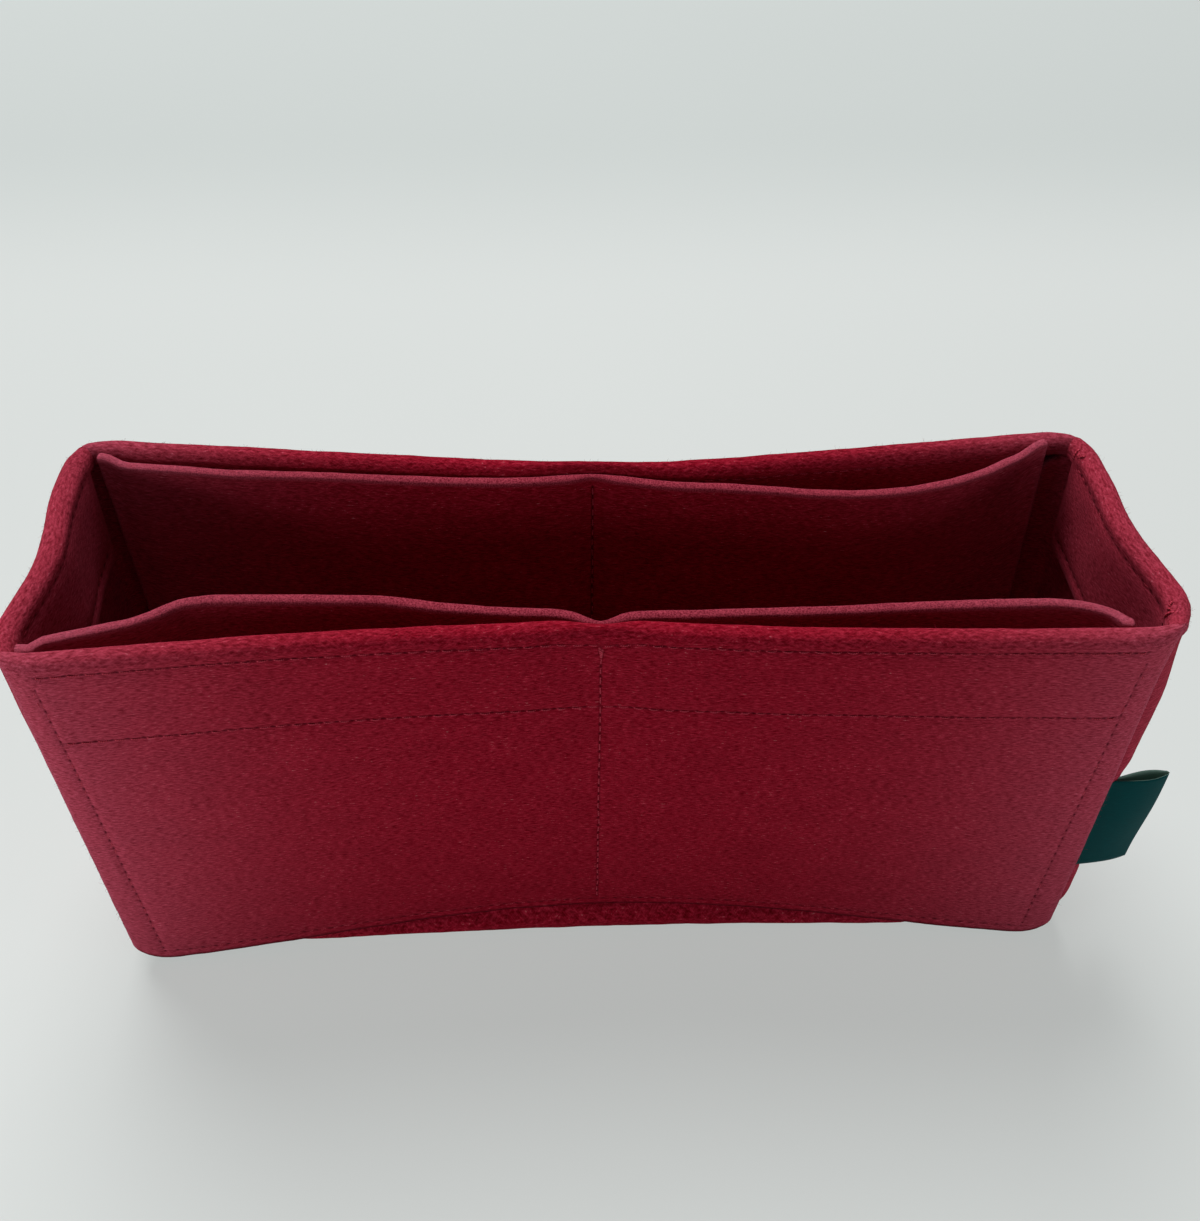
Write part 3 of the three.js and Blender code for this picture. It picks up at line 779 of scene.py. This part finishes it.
def wall_stitches(side_name, side, material):
    place = wall_place(side)
    for k, (part, seams) in enumerate(wall_seams().items()):
        quiet = SUNK * (part == "edge_seam")
        runs = [stitch_run(place, seam, ROW_SEED_STEP * k + j, sunk=quiet) for j, seam in enumerate(seams)]
        if part == "edge_seam":
            for end in (LEFT, RIGHT):
                foot = (end * (EDGE_HALF + BACKSTITCH_LEAN), BACKSTITCH_FOOT)
                again = (end * EDGE_HALF, BACKSTITCH_TOP, *foot)
                runs.append(stitch_run(place, again, BACKSTITCH_SEED + end, shift=end * BACKSTITCH_SHIFT,
                                       sunk=BACKSTITCH_SUNK))
            for j, (a0, q0, a1, q1) in enumerate(TAILS):
                tail = (side * a0, TAIL_CORNER + q0, side * a1, TAIL_CORNER + q1)
                runs.append(stitch_run(gusset_place, tail, TAIL_SEED + j, sunk=-TAIL_RAISED,
                                       radius=KNOT_RADIUS))
        if part == "middle_seam":
            for j, (x0, below0, x1, below1) in enumerate(KNOTS):
                knot = (x0, HEIGHT - below0, x1, HEIGHT - below1)
                runs.append(stitch_run(place, knot, KNOT_SEED + j, sunk=-KNOT_RAISED, radius=KNOT_RADIUS))
            inside = pocket_place(f"{side_name}_right_pocket")
            runs.append(stitch_run(inside, MIDDLE_INSIDE, INSIDE_SEED, inner=True))
        stitches(f"{side_name}_{part}_thread", f"{side_name}_{part}", runs, material)


def end_stitches(end_name, end, material):
    for k, (part, seams) in enumerate(end_seams(end).items()):
        first = END_SEED + ROW_SEED_STEP * k
        runs = [stitch_run(gusset_place, seam, first + j, sunk=SUNK) for j, seam in enumerate(seams)]
        stitches(f"{end_name}_{part}_thread", f"{end_name}_{part}", runs, material)


def loose_fibres(name, place, spots, material, seed):
    """Fine hairs that stand off a sheet's outer face; spots are (u, v) on the sheet."""
    rng = np.random.default_rng(seed)
    count = len(spots)
    here, du, dv, up = face_of(place, spots[:, 0], spots[:, 1], 0)
    lean = rng.normal(0, 1, (count, 2))
    rise = rng.uniform(*HAIR_RISE, (count, 1))
    heading = unit(up * rise + du * lean[:, :1] + dv * lean[:, 1:] * HAIR_FLATNESS)
    curl = unit(np.cross(heading, rng.normal(0, 1, (count, 3))))
    length = rng.gamma(*HAIR_LENGTH, (count, 1)).clip(*HAIR_LENGTH_LIMITS)
    share = np.linspace(0, 1, HAIR_RINGS)[None, :, None]
    bend = rng.uniform(-HAIR_BEND, HAIR_BEND, (count, 1)) * length
    centres = here[:, None] + heading[:, None] * (length[:, None] * share)
    centres = centres + curl[:, None] * (bend[:, None] * share ** 2) - up[:, None] * HAIR_ROOT
    radii = np.broadcast_to(mix(*HAIR_RADII, share[:, :, 0]), centres.shape[:2])
    ups = np.broadcast_to(curl[:, None] + OFF_LINE, centres.shape)
    points, faces = tubes(centres, ups, radii, HAIR_SIDES)
    piece = make_object(name, points, faces, material)
    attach(piece, "insert_body")


def scatter(rng, count, u_range, v_range):
    return np.column_stack([rng.uniform(*u_range, count), rng.uniform(*v_range, count)])


def all_fibres(material):
    rng = np.random.default_rng(SPOT_SEED)
    for name, side in SIDES.items():
        rim, face, edges = (scatter(rng, *zone) for zone in WALL_HAIRS)
        edges[:, 0] *= rng.choice((LEFT, RIGHT), len(edges))
        spots = np.concatenate([rim, face, edges])
        loose_fibres(f"{name}_wall_hairs", wall_place(side), spots, material, WALL_HAIR_SEED + side)
    for name, end in ENDS.items():
        spots = np.concatenate([scatter(rng, *zone) for zone in END_HAIRS])
        spots[:, 1] *= end
        loose_fibres(f"{name}_end_hairs", gusset_place, spots, material, END_HAIR_SEED + end)


# Materials

def rgb(red, green, blue):
    """Linear colour from screen values of 0 to 255."""
    shares = (c / 255 for c in (red, green, blue))
    return tuple(s / 12.92 if s <= 0.04045 else ((s + 0.055) / 1.055) ** 2.4 for s in shares) + (1.0,)


class Shader:
    """A material or a world whose nodes are added one by one."""

    def __init__(self, owner, surface="Principled BSDF"):
        owner.use_nodes = True
        self.owner = owner
        self.tree = owner.node_tree
        self.surface = self.tree.nodes[surface]

    def add(self, kind, inputs=None, **settings):
        node = self.tree.nodes.new("ShaderNode" + kind)
        for key, value in settings.items():
            setattr(node, key, value)
        for key, value in (inputs or {}).items():
            self.set(node.inputs[key], value)
        return node

    def set(self, socket, value):
        if isinstance(value, bpy.types.NodeSocket):
            self.tree.links.new(value, socket)
        else:
            socket.default_value = value

    def finish(self, **values):
        """Sets the surface's inputs, named with underscores."""
        for key, value in values.items():
            self.set(self.surface.inputs[key.replace("_", " ")], value)
        return self.owner

    def attribute(self, name, output="Vector"):
        return self.add("Attribute", attribute_name=name).outputs[output]

    def streaks(self, vector, size, detail=2.0, turn=0.0):
        """Noise of about size millimetres, turned on the sheet."""
        inputs = {"Vector": vector, "Scale": size, "Rotation": (0, 0, turn)}
        mapped = self.add("Mapping", inputs, vector_type="TEXTURE")
        inputs = {"Vector": mapped.outputs["Vector"], "Scale": 1.0, "Detail": detail, "Roughness": 0.6}
        return self.add("TexNoise", inputs).outputs["Fac"]

    def math(self, operation, a, b=0.0):
        return self.add("Math", {0: a, 1: b}, operation=operation).outputs["Value"]

    def times(self, a, b):
        return self.math("MULTIPLY", a, b)

    def ridge(self, value, width):
        """1 where the noise is at its middle, falling to 0 over width: thin winding lines."""
        off = self.math("ABSOLUTE", self.math("SUBTRACT", value, 0.5))
        return self.math("MAXIMUM", self.weighted((off, -1 / width), (1.0, 1.0)), 0.0)

    def weighted(self, *terms):
        """Sum of values times weights."""
        total = 0.0
        for value, weight in terms:
            node = self.add("Math", {0: value, 1: weight, 2: total}, operation="MULTIPLY_ADD")
            total = node.outputs["Value"]
        return total

    def ramp(self, value, stops):
        node = self.add("ValToRGB", {"Fac": value})
        first, last = node.color_ramp.elements
        spots = [first] + [node.color_ramp.elements.new(p) for p, _ in stops[1:-1]] + [last]
        for spot, (place, colour) in zip(spots, stops):
            spot.position = place
            spot.color = colour
        return node.outputs["Color"]

    def blend(self, share, a, b):
        node = self.add("Mix", data_type="RGBA")
        self.set(node.inputs[0], share)
        self.set(node.inputs[6], a)
        self.set(node.inputs[7], b)
        return node.outputs[2]

    def seen(self):
        """1 for the rays that show a surface to the camera, straight or by reflection."""
        rays = self.add("LightPath").outputs
        kinds = ("Camera", "Glossy", "Transmission")
        return self.weighted(*((rays[f"Is {kind} Ray"], 1.0) for kind in kinds))

    def bump(self, height, strength, distance):
        inputs = {"Height": height, "Strength": strength, "Distance": distance * MM}
        return self.add("Bump", inputs).outputs["Normal"]


FELT_DARK, FELT_MIDDLE, FELT_LIGHT = rgb(92, 1, 12), rgb(116, 5, 23), rgb(138, 15, 36)
FELT_FIBRE = rgb(180, 46, 68)
# Painted pale sheen toward the ends
FELT_PAINTED_SHEEN = rgb(181, 91, 112)
FELT_RAW_DARK, FELT_RAW = rgb(94, 14, 30), rgb(158, 60, 76)
# Painted shade along the long walls' lower edges
FELT_PAINTED_SHADE = rgb(50, 1, 8)
# Painted shade in the needle holes and along the seams' creases
HOLE_PAINTED_SHADE = rgb(46, 1, 7)
FELT_SHEEN = rgb(255, 140, 155)
# Shares of the painted pale sheen, the fibres, the painted shade in the needle holes and the painted shade
# along the seams' creases
PAINTED_SHEEN_SHARE, FIBRE_SHARE, HOLE_SHADE_SHARE, CREASE_SHADE_SHARE = 0.5, 0.65, 0.9, 0.3
HOLE_REACH, HOLE_SHARPNESS = 0.55, 2.5

# Sizes of the felt's pattern along the fibres and across, and the slants of its longer strands
FIBRES, STRANDS = (1.7, 0.32, 0.32), (3.2, 0.42, 0.42)
SPECKS, CLOUDS = (0.31, 0.31, 0.31), (16.0, 10.0, 10.0)
RISING_TURN, FALLING_TURN = math.radians(19), math.radians(-23)
RISING_WIDTH, FALLING_WIDTH = 0.07, 0.06


def felt_material():
    """Pressed wool: fine light fibres lying mostly along the sheet, a painted pale sheen toward the ends,
    speckled cut edges, a painted shade line on one edge, and painted shade in the seams' creases and needle
    holes."""
    shader = Shader(bpy.data.materials.new("felt"))
    cut = shader.attribute("cut")
    level = shader.streaks(cut, FIBRES)
    rising = shader.streaks(cut, STRANDS, detail=1.0, turn=RISING_TURN)
    falling = shader.streaks(cut, STRANDS, detail=1.0, turn=FALLING_TURN)
    speckle = shader.streaks(cut, SPECKS)
    clouds = shader.streaks(cut, CLOUDS)
    tone = shader.weighted((level, 0.62), (speckle, 0.24), (clouds, 0.14))
    face = shader.ramp(tone, ((0.38, FELT_DARK), (0.5, FELT_MIDDLE), (0.62, FELT_LIGHT)))
    strands = shader.math("MAXIMUM", shader.ridge(rising, RISING_WIDTH),
                          shader.ridge(falling, FALLING_WIDTH))
    patchy = shader.times(strands, shader.weighted((level, 2.0), (-0.55, 1.0)))
    fibres = shader.math("MAXIMUM", patchy, 0.0)
    face = shader.blend(shader.times(fibres, FIBRE_SHARE), face, FELT_FIBRE)
    # Painted pale sheen toward the ends, broken up by the fibres
    uneven = shader.weighted((level, 1.8 * PAINTED_SHEEN_SHARE), (fibres, 0.5 * PAINTED_SHEEN_SHARE),
                             (-0.25, PAINTED_SHEEN_SHARE))
    painted_sheen = shader.times(shader.attribute("painted_sheen", "Fac"), uneven)
    grain = shader.ramp(speckle, ((0.36, FELT_RAW_DARK), (0.64, FELT_RAW)))
    edge = shader.attribute("raw_edge_and_painted_shade", "Fac")
    colour = shader.blend(edge, face, grain)
    colour = shader.blend(painted_sheen, colour, FELT_PAINTED_SHEEN)
    # Painted shade on the edges marked -1
    colour = shader.blend(shader.times(edge, -1.0), colour, FELT_PAINTED_SHADE)
    needle = shader.add("SeparateXYZ", {"Vector": shader.attribute("needle")}).outputs
    # Painted shade in the needle holes, dashed, and fainter along the seams' creases
    wave = shader.math("COSINE", shader.times(needle["X"], 2 * math.pi))
    dash = shader.math("POWER", shader.weighted((wave, 0.5), (0.5, 1.0)), HOLE_SHARPNESS)
    dash = shader.math("MAXIMUM", dash, CREASE_SHADE_SHARE)
    near = shader.math("MAXIMUM", shader.weighted((needle["Y"], -1 / HOLE_REACH), (1.0, 1.0)), 0.0)
    hole = shader.times(shader.times(dash, near), needle["Z"])
    colour = shader.blend(shader.times(hole, HOLE_SHADE_SHARE), colour, HOLE_PAINTED_SHADE)
    height = shader.weighted((level, 0.8), (speckle, 0.4), (fibres, 0.3), (hole, -0.8))
    return shader.finish(Base_Color=colour, Normal=shader.bump(height, 0.4, 0.3), Roughness=0.97,
                         Specular_IOR_Level=0.02, Sheen_Weight=0.02, Sheen_Roughness=0.4,
                         Sheen_Tint=FELT_SHEEN)


def hair_material():
    shader = Shader(bpy.data.materials.new("felt_hairs"))
    place = shader.add("TexCoord").outputs["Object"]
    tone = shader.add("TexNoise", {"Vector": place, "Scale": 900.0}).outputs["Fac"]
    colour = shader.ramp(tone, ((0.35, rgb(96, 8, 24)), (0.7, rgb(146, 34, 52))))
    return shader.finish(Base_Color=colour, Roughness=0.8, Specular_IOR_Level=0.03)


def thread_material():
    """Two-ply polyester thread: slanting plies and a slight shine."""
    shader = Shader(bpy.data.materials.new("sewing_thread"))
    inputs = {"Vector": shader.attribute("cut"), "Rotation": (0, 0, math.radians(38))}
    turned = shader.add("Mapping", inputs).outputs["Vector"]
    plies = shader.add("TexWave", {"Vector": turned, "Scale": 0.62, "Distortion": 0.4}, wave_type="BANDS",
                       bands_direction="X").outputs["Fac"]
    colour = shader.ramp(plies, ((0.1, rgb(128, 18, 36)), (0.8, rgb(176, 52, 72))))
    return shader.finish(Base_Color=colour, Normal=shader.bump(plies, 0.6, 0.12), Roughness=0.6,
                         Specular_IOR_Level=0.1, Sheen_Weight=0.03)


def ribbon_material():
    """Dark green satin: fine weft lines across the ribbon, a broad soft shine, and a painted highlight on
    the inner faces of its eye.
    """
    shader = Shader(bpy.data.materials.new("label_satin"))
    cut = shader.attribute("cut")
    weft = shader.add("TexWave", {"Vector": cut, "Scale": 1.1, "Distortion": 1.2, "Detail": 2.0},
                      wave_type="BANDS", bands_direction="Y").outputs["Fac"]
    warp = shader.streaks(cut, (2.5, 0.33, 1.0))
    tone = shader.weighted((weft, 0.4), (warp, 0.6))
    colour = shader.ramp(tone, ((0.25, rgb(0, 46, 48)), (0.75, rgb(0, 60, 62))))
    # Painted highlight: the faces inside the label's eye are painted pale grey-green
    depth = shader.add("SeparateXYZ", {"Vector": cut}).outputs["Z"]
    painted_highlight = shader.math("GREATER_THAN", depth, RIBBON / 2)
    colour = shader.blend(painted_highlight, colour, rgb(110, 140, 130))
    return shader.finish(Base_Color=colour, Normal=shader.bump(weft, 0.2, 0.05), Roughness=0.5,
                         Specular_IOR_Level=0.02, Anisotropic=0.4)


PAPER_SEEN = 0.6
PAPER_NEAR, PAPER_FAR = 0.9, 2.0
BACKDROP_START, BACKDROP_FULL = 0.3, 0.5


def floor_material():
    """White paper. To the camera part of its shade is painted even, so that the shadow stays soft, with a
    painted falloff of the light that darkens it behind the object; far off all of it is painted even."""
    shader = Shader(bpy.data.materials.new("floor_paper"))
    place = shader.add("TexCoord").outputs["Object"]
    grain = shader.add("TexNoise", {"Vector": place, "Scale": 3.0, "Detail": 2.0}).outputs["Fac"]
    colour = shader.ramp(grain, ((0.3, rgb(203, 208, 207)), (0.7, rgb(205, 210, 209))))
    # Painted falloff of the light: the even shade darkens behind the object
    depth = shader.add("SeparateXYZ", {"Vector": place}).outputs["Y"]
    inputs = {"Value": depth, "From Min": BACKDROP_START, "From Max": BACKDROP_FULL}
    behind = shader.add("MapRange", inputs, interpolation_type="SMOOTHSTEP").outputs["Result"]
    shade = shader.ramp(behind, ((0.0, rgb(213, 217, 215)), (1.0, rgb(188, 195, 193))))
    even = shader.add("Emission", {"Color": shade}).outputs["Emission"]
    paper = shader.surface.outputs["BSDF"]
    away = shader.add("VectorMath", {0: place}, operation="LENGTH").outputs["Value"]
    inputs = {"Value": away, "From Min": PAPER_NEAR, "From Max": PAPER_FAR}
    far = shader.add("MapRange", inputs).outputs["Result"]
    share = shader.weighted((far, 1 - PAPER_SEEN), (PAPER_SEEN, 1.0))
    both = shader.add("MixShader", {0: shader.times(shader.seen(), share), 1: paper, 2: even})
    shader.set(shader.tree.nodes["Material Output"].inputs["Surface"], both.outputs["Shader"])
    return shader.finish(Base_Color=colour, Roughness=0.9, Specular_IOR_Level=0.1)


# Stage

FLOOR_REACH = 6.0
WORLD_LIGHT, WORLD_SEEN, WORLD_COLOUR = 0.12, 0.6, (0.97, 1.0, 1.0, 1.0)
HIGH_PLACE, HIGH_TARGET, HIGH_SIZE = (-0.5, 1.6, 2.8), (0, 0, 0.05), 2.4
HIGH_POWER, HIGH_COLOUR = 142.0, (1.0, 0.99, 0.98)
SIDE_PLACE, SIDE_TARGET = (0.38, -0.24, 0.12), (0.09, 0, 0.045)
SIDE_SIZE, SIDE_SPREAD = 0.2, math.radians(70)
SIDE_POWERS, SIDE_COLOUR = {LEFT: 0.146, RIGHT: 0.082}, (1.0, 0.98, 0.97)

# Camera, fitted to the corners of the box in the photograph
CAMERA_PLACE = (-9.4, -229.0, 312.5)
CAMERA_PITCH, CAMERA_YAW, CAMERA_ROLL = (math.radians(a) for a in (43.64, 2.64, 0.70))
PHOTO_HEIGHT = 1221
FOCAL_PIXELS = 1285
SENSOR = 36.0
CLIP_START = 0.01


def add_camera():
    data = bpy.data.cameras.new("camera")
    data.sensor_width = SENSOR
    data.lens = SENSOR * FOCAL_PIXELS / PHOTO_HEIGHT
    data.clip_start = CLIP_START
    camera = add_object("camera", data)
    forward = Vector((
        math.sin(CAMERA_YAW) * math.cos(CAMERA_PITCH),
        math.cos(CAMERA_YAW) * math.cos(CAMERA_PITCH),
        -math.sin(CAMERA_PITCH),
    ))
    level = Vector((math.cos(CAMERA_YAW), -math.sin(CAMERA_YAW), 0))
    upright = level.cross(forward)
    right = level * math.cos(CAMERA_ROLL) + upright * math.sin(CAMERA_ROLL)
    up = right.cross(forward)
    turned = Matrix((right, up, -forward)).transposed().to_4x4()
    camera.matrix_world = Matrix.Translation(Vector(CAMERA_PLACE) * MM) @ turned
    bpy.context.scene.camera = camera


def add_area(name, place, target, size, power, colour, spread=math.pi):
    data = bpy.data.lights.new(name, "AREA")
    data.shape = "DISK"
    data.size = size
    data.energy = power
    data.color = colour
    data.spread = spread
    lamp = add_object(name, data)
    lamp.location = place
    lamp.visible_camera = False
    lamp.rotation_euler = (Vector(target) - Vector(place)).to_track_quat("-Z", "Y").to_euler()


def add_stage():
    corners = np.array([(-1, -1, 0), (1, -1, 0), (1, 1, 0), (-1, 1, 0)]) * FLOOR_REACH / MM
    floor = make_object("floor", corners, [[0, 1, 2, 3]], floor_material())
    studio = Shader(bpy.data.worlds.new("studio"), "Background")
    strength = studio.weighted((studio.seen(), WORLD_SEEN - WORLD_LIGHT), (WORLD_LIGHT, 1.0))
    bpy.context.scene.world = studio.finish(Color=WORLD_COLOUR, Strength=strength)
    add_area("high_softbox", HIGH_PLACE, HIGH_TARGET, HIGH_SIZE, HIGH_POWER, HIGH_COLOUR)
    for name, end in ENDS.items():
        place, target = (np.array(spot) * (end, 1, 1) for spot in (SIDE_PLACE, SIDE_TARGET))
        add_area(f"{name}_softbox", place, target, SIDE_SIZE, SIDE_POWERS[end], SIDE_COLOUR, SIDE_SPREAD)
    bpy.context.scene.view_settings.view_transform = "Standard"


def dress():
    felt = felt_material()
    thread = thread_material()
    for name, side in SIDES.items():
        long_wall(f"{name}_wall", side, felt)
    gusset(felt)
    for k, name in enumerate(POCKETS):
        pocket(name, felt, POCKET_SEED + POCKET_SEED_STEP * k)
    label(ribbon_material())
    for name, side in SIDES.items():
        wall_stitches(name, side, thread)
    for name, end in ENDS.items():
        end_stitches(name, end, thread)
    all_fibres(hair_material())


add_camera()
add_stage()
dress()
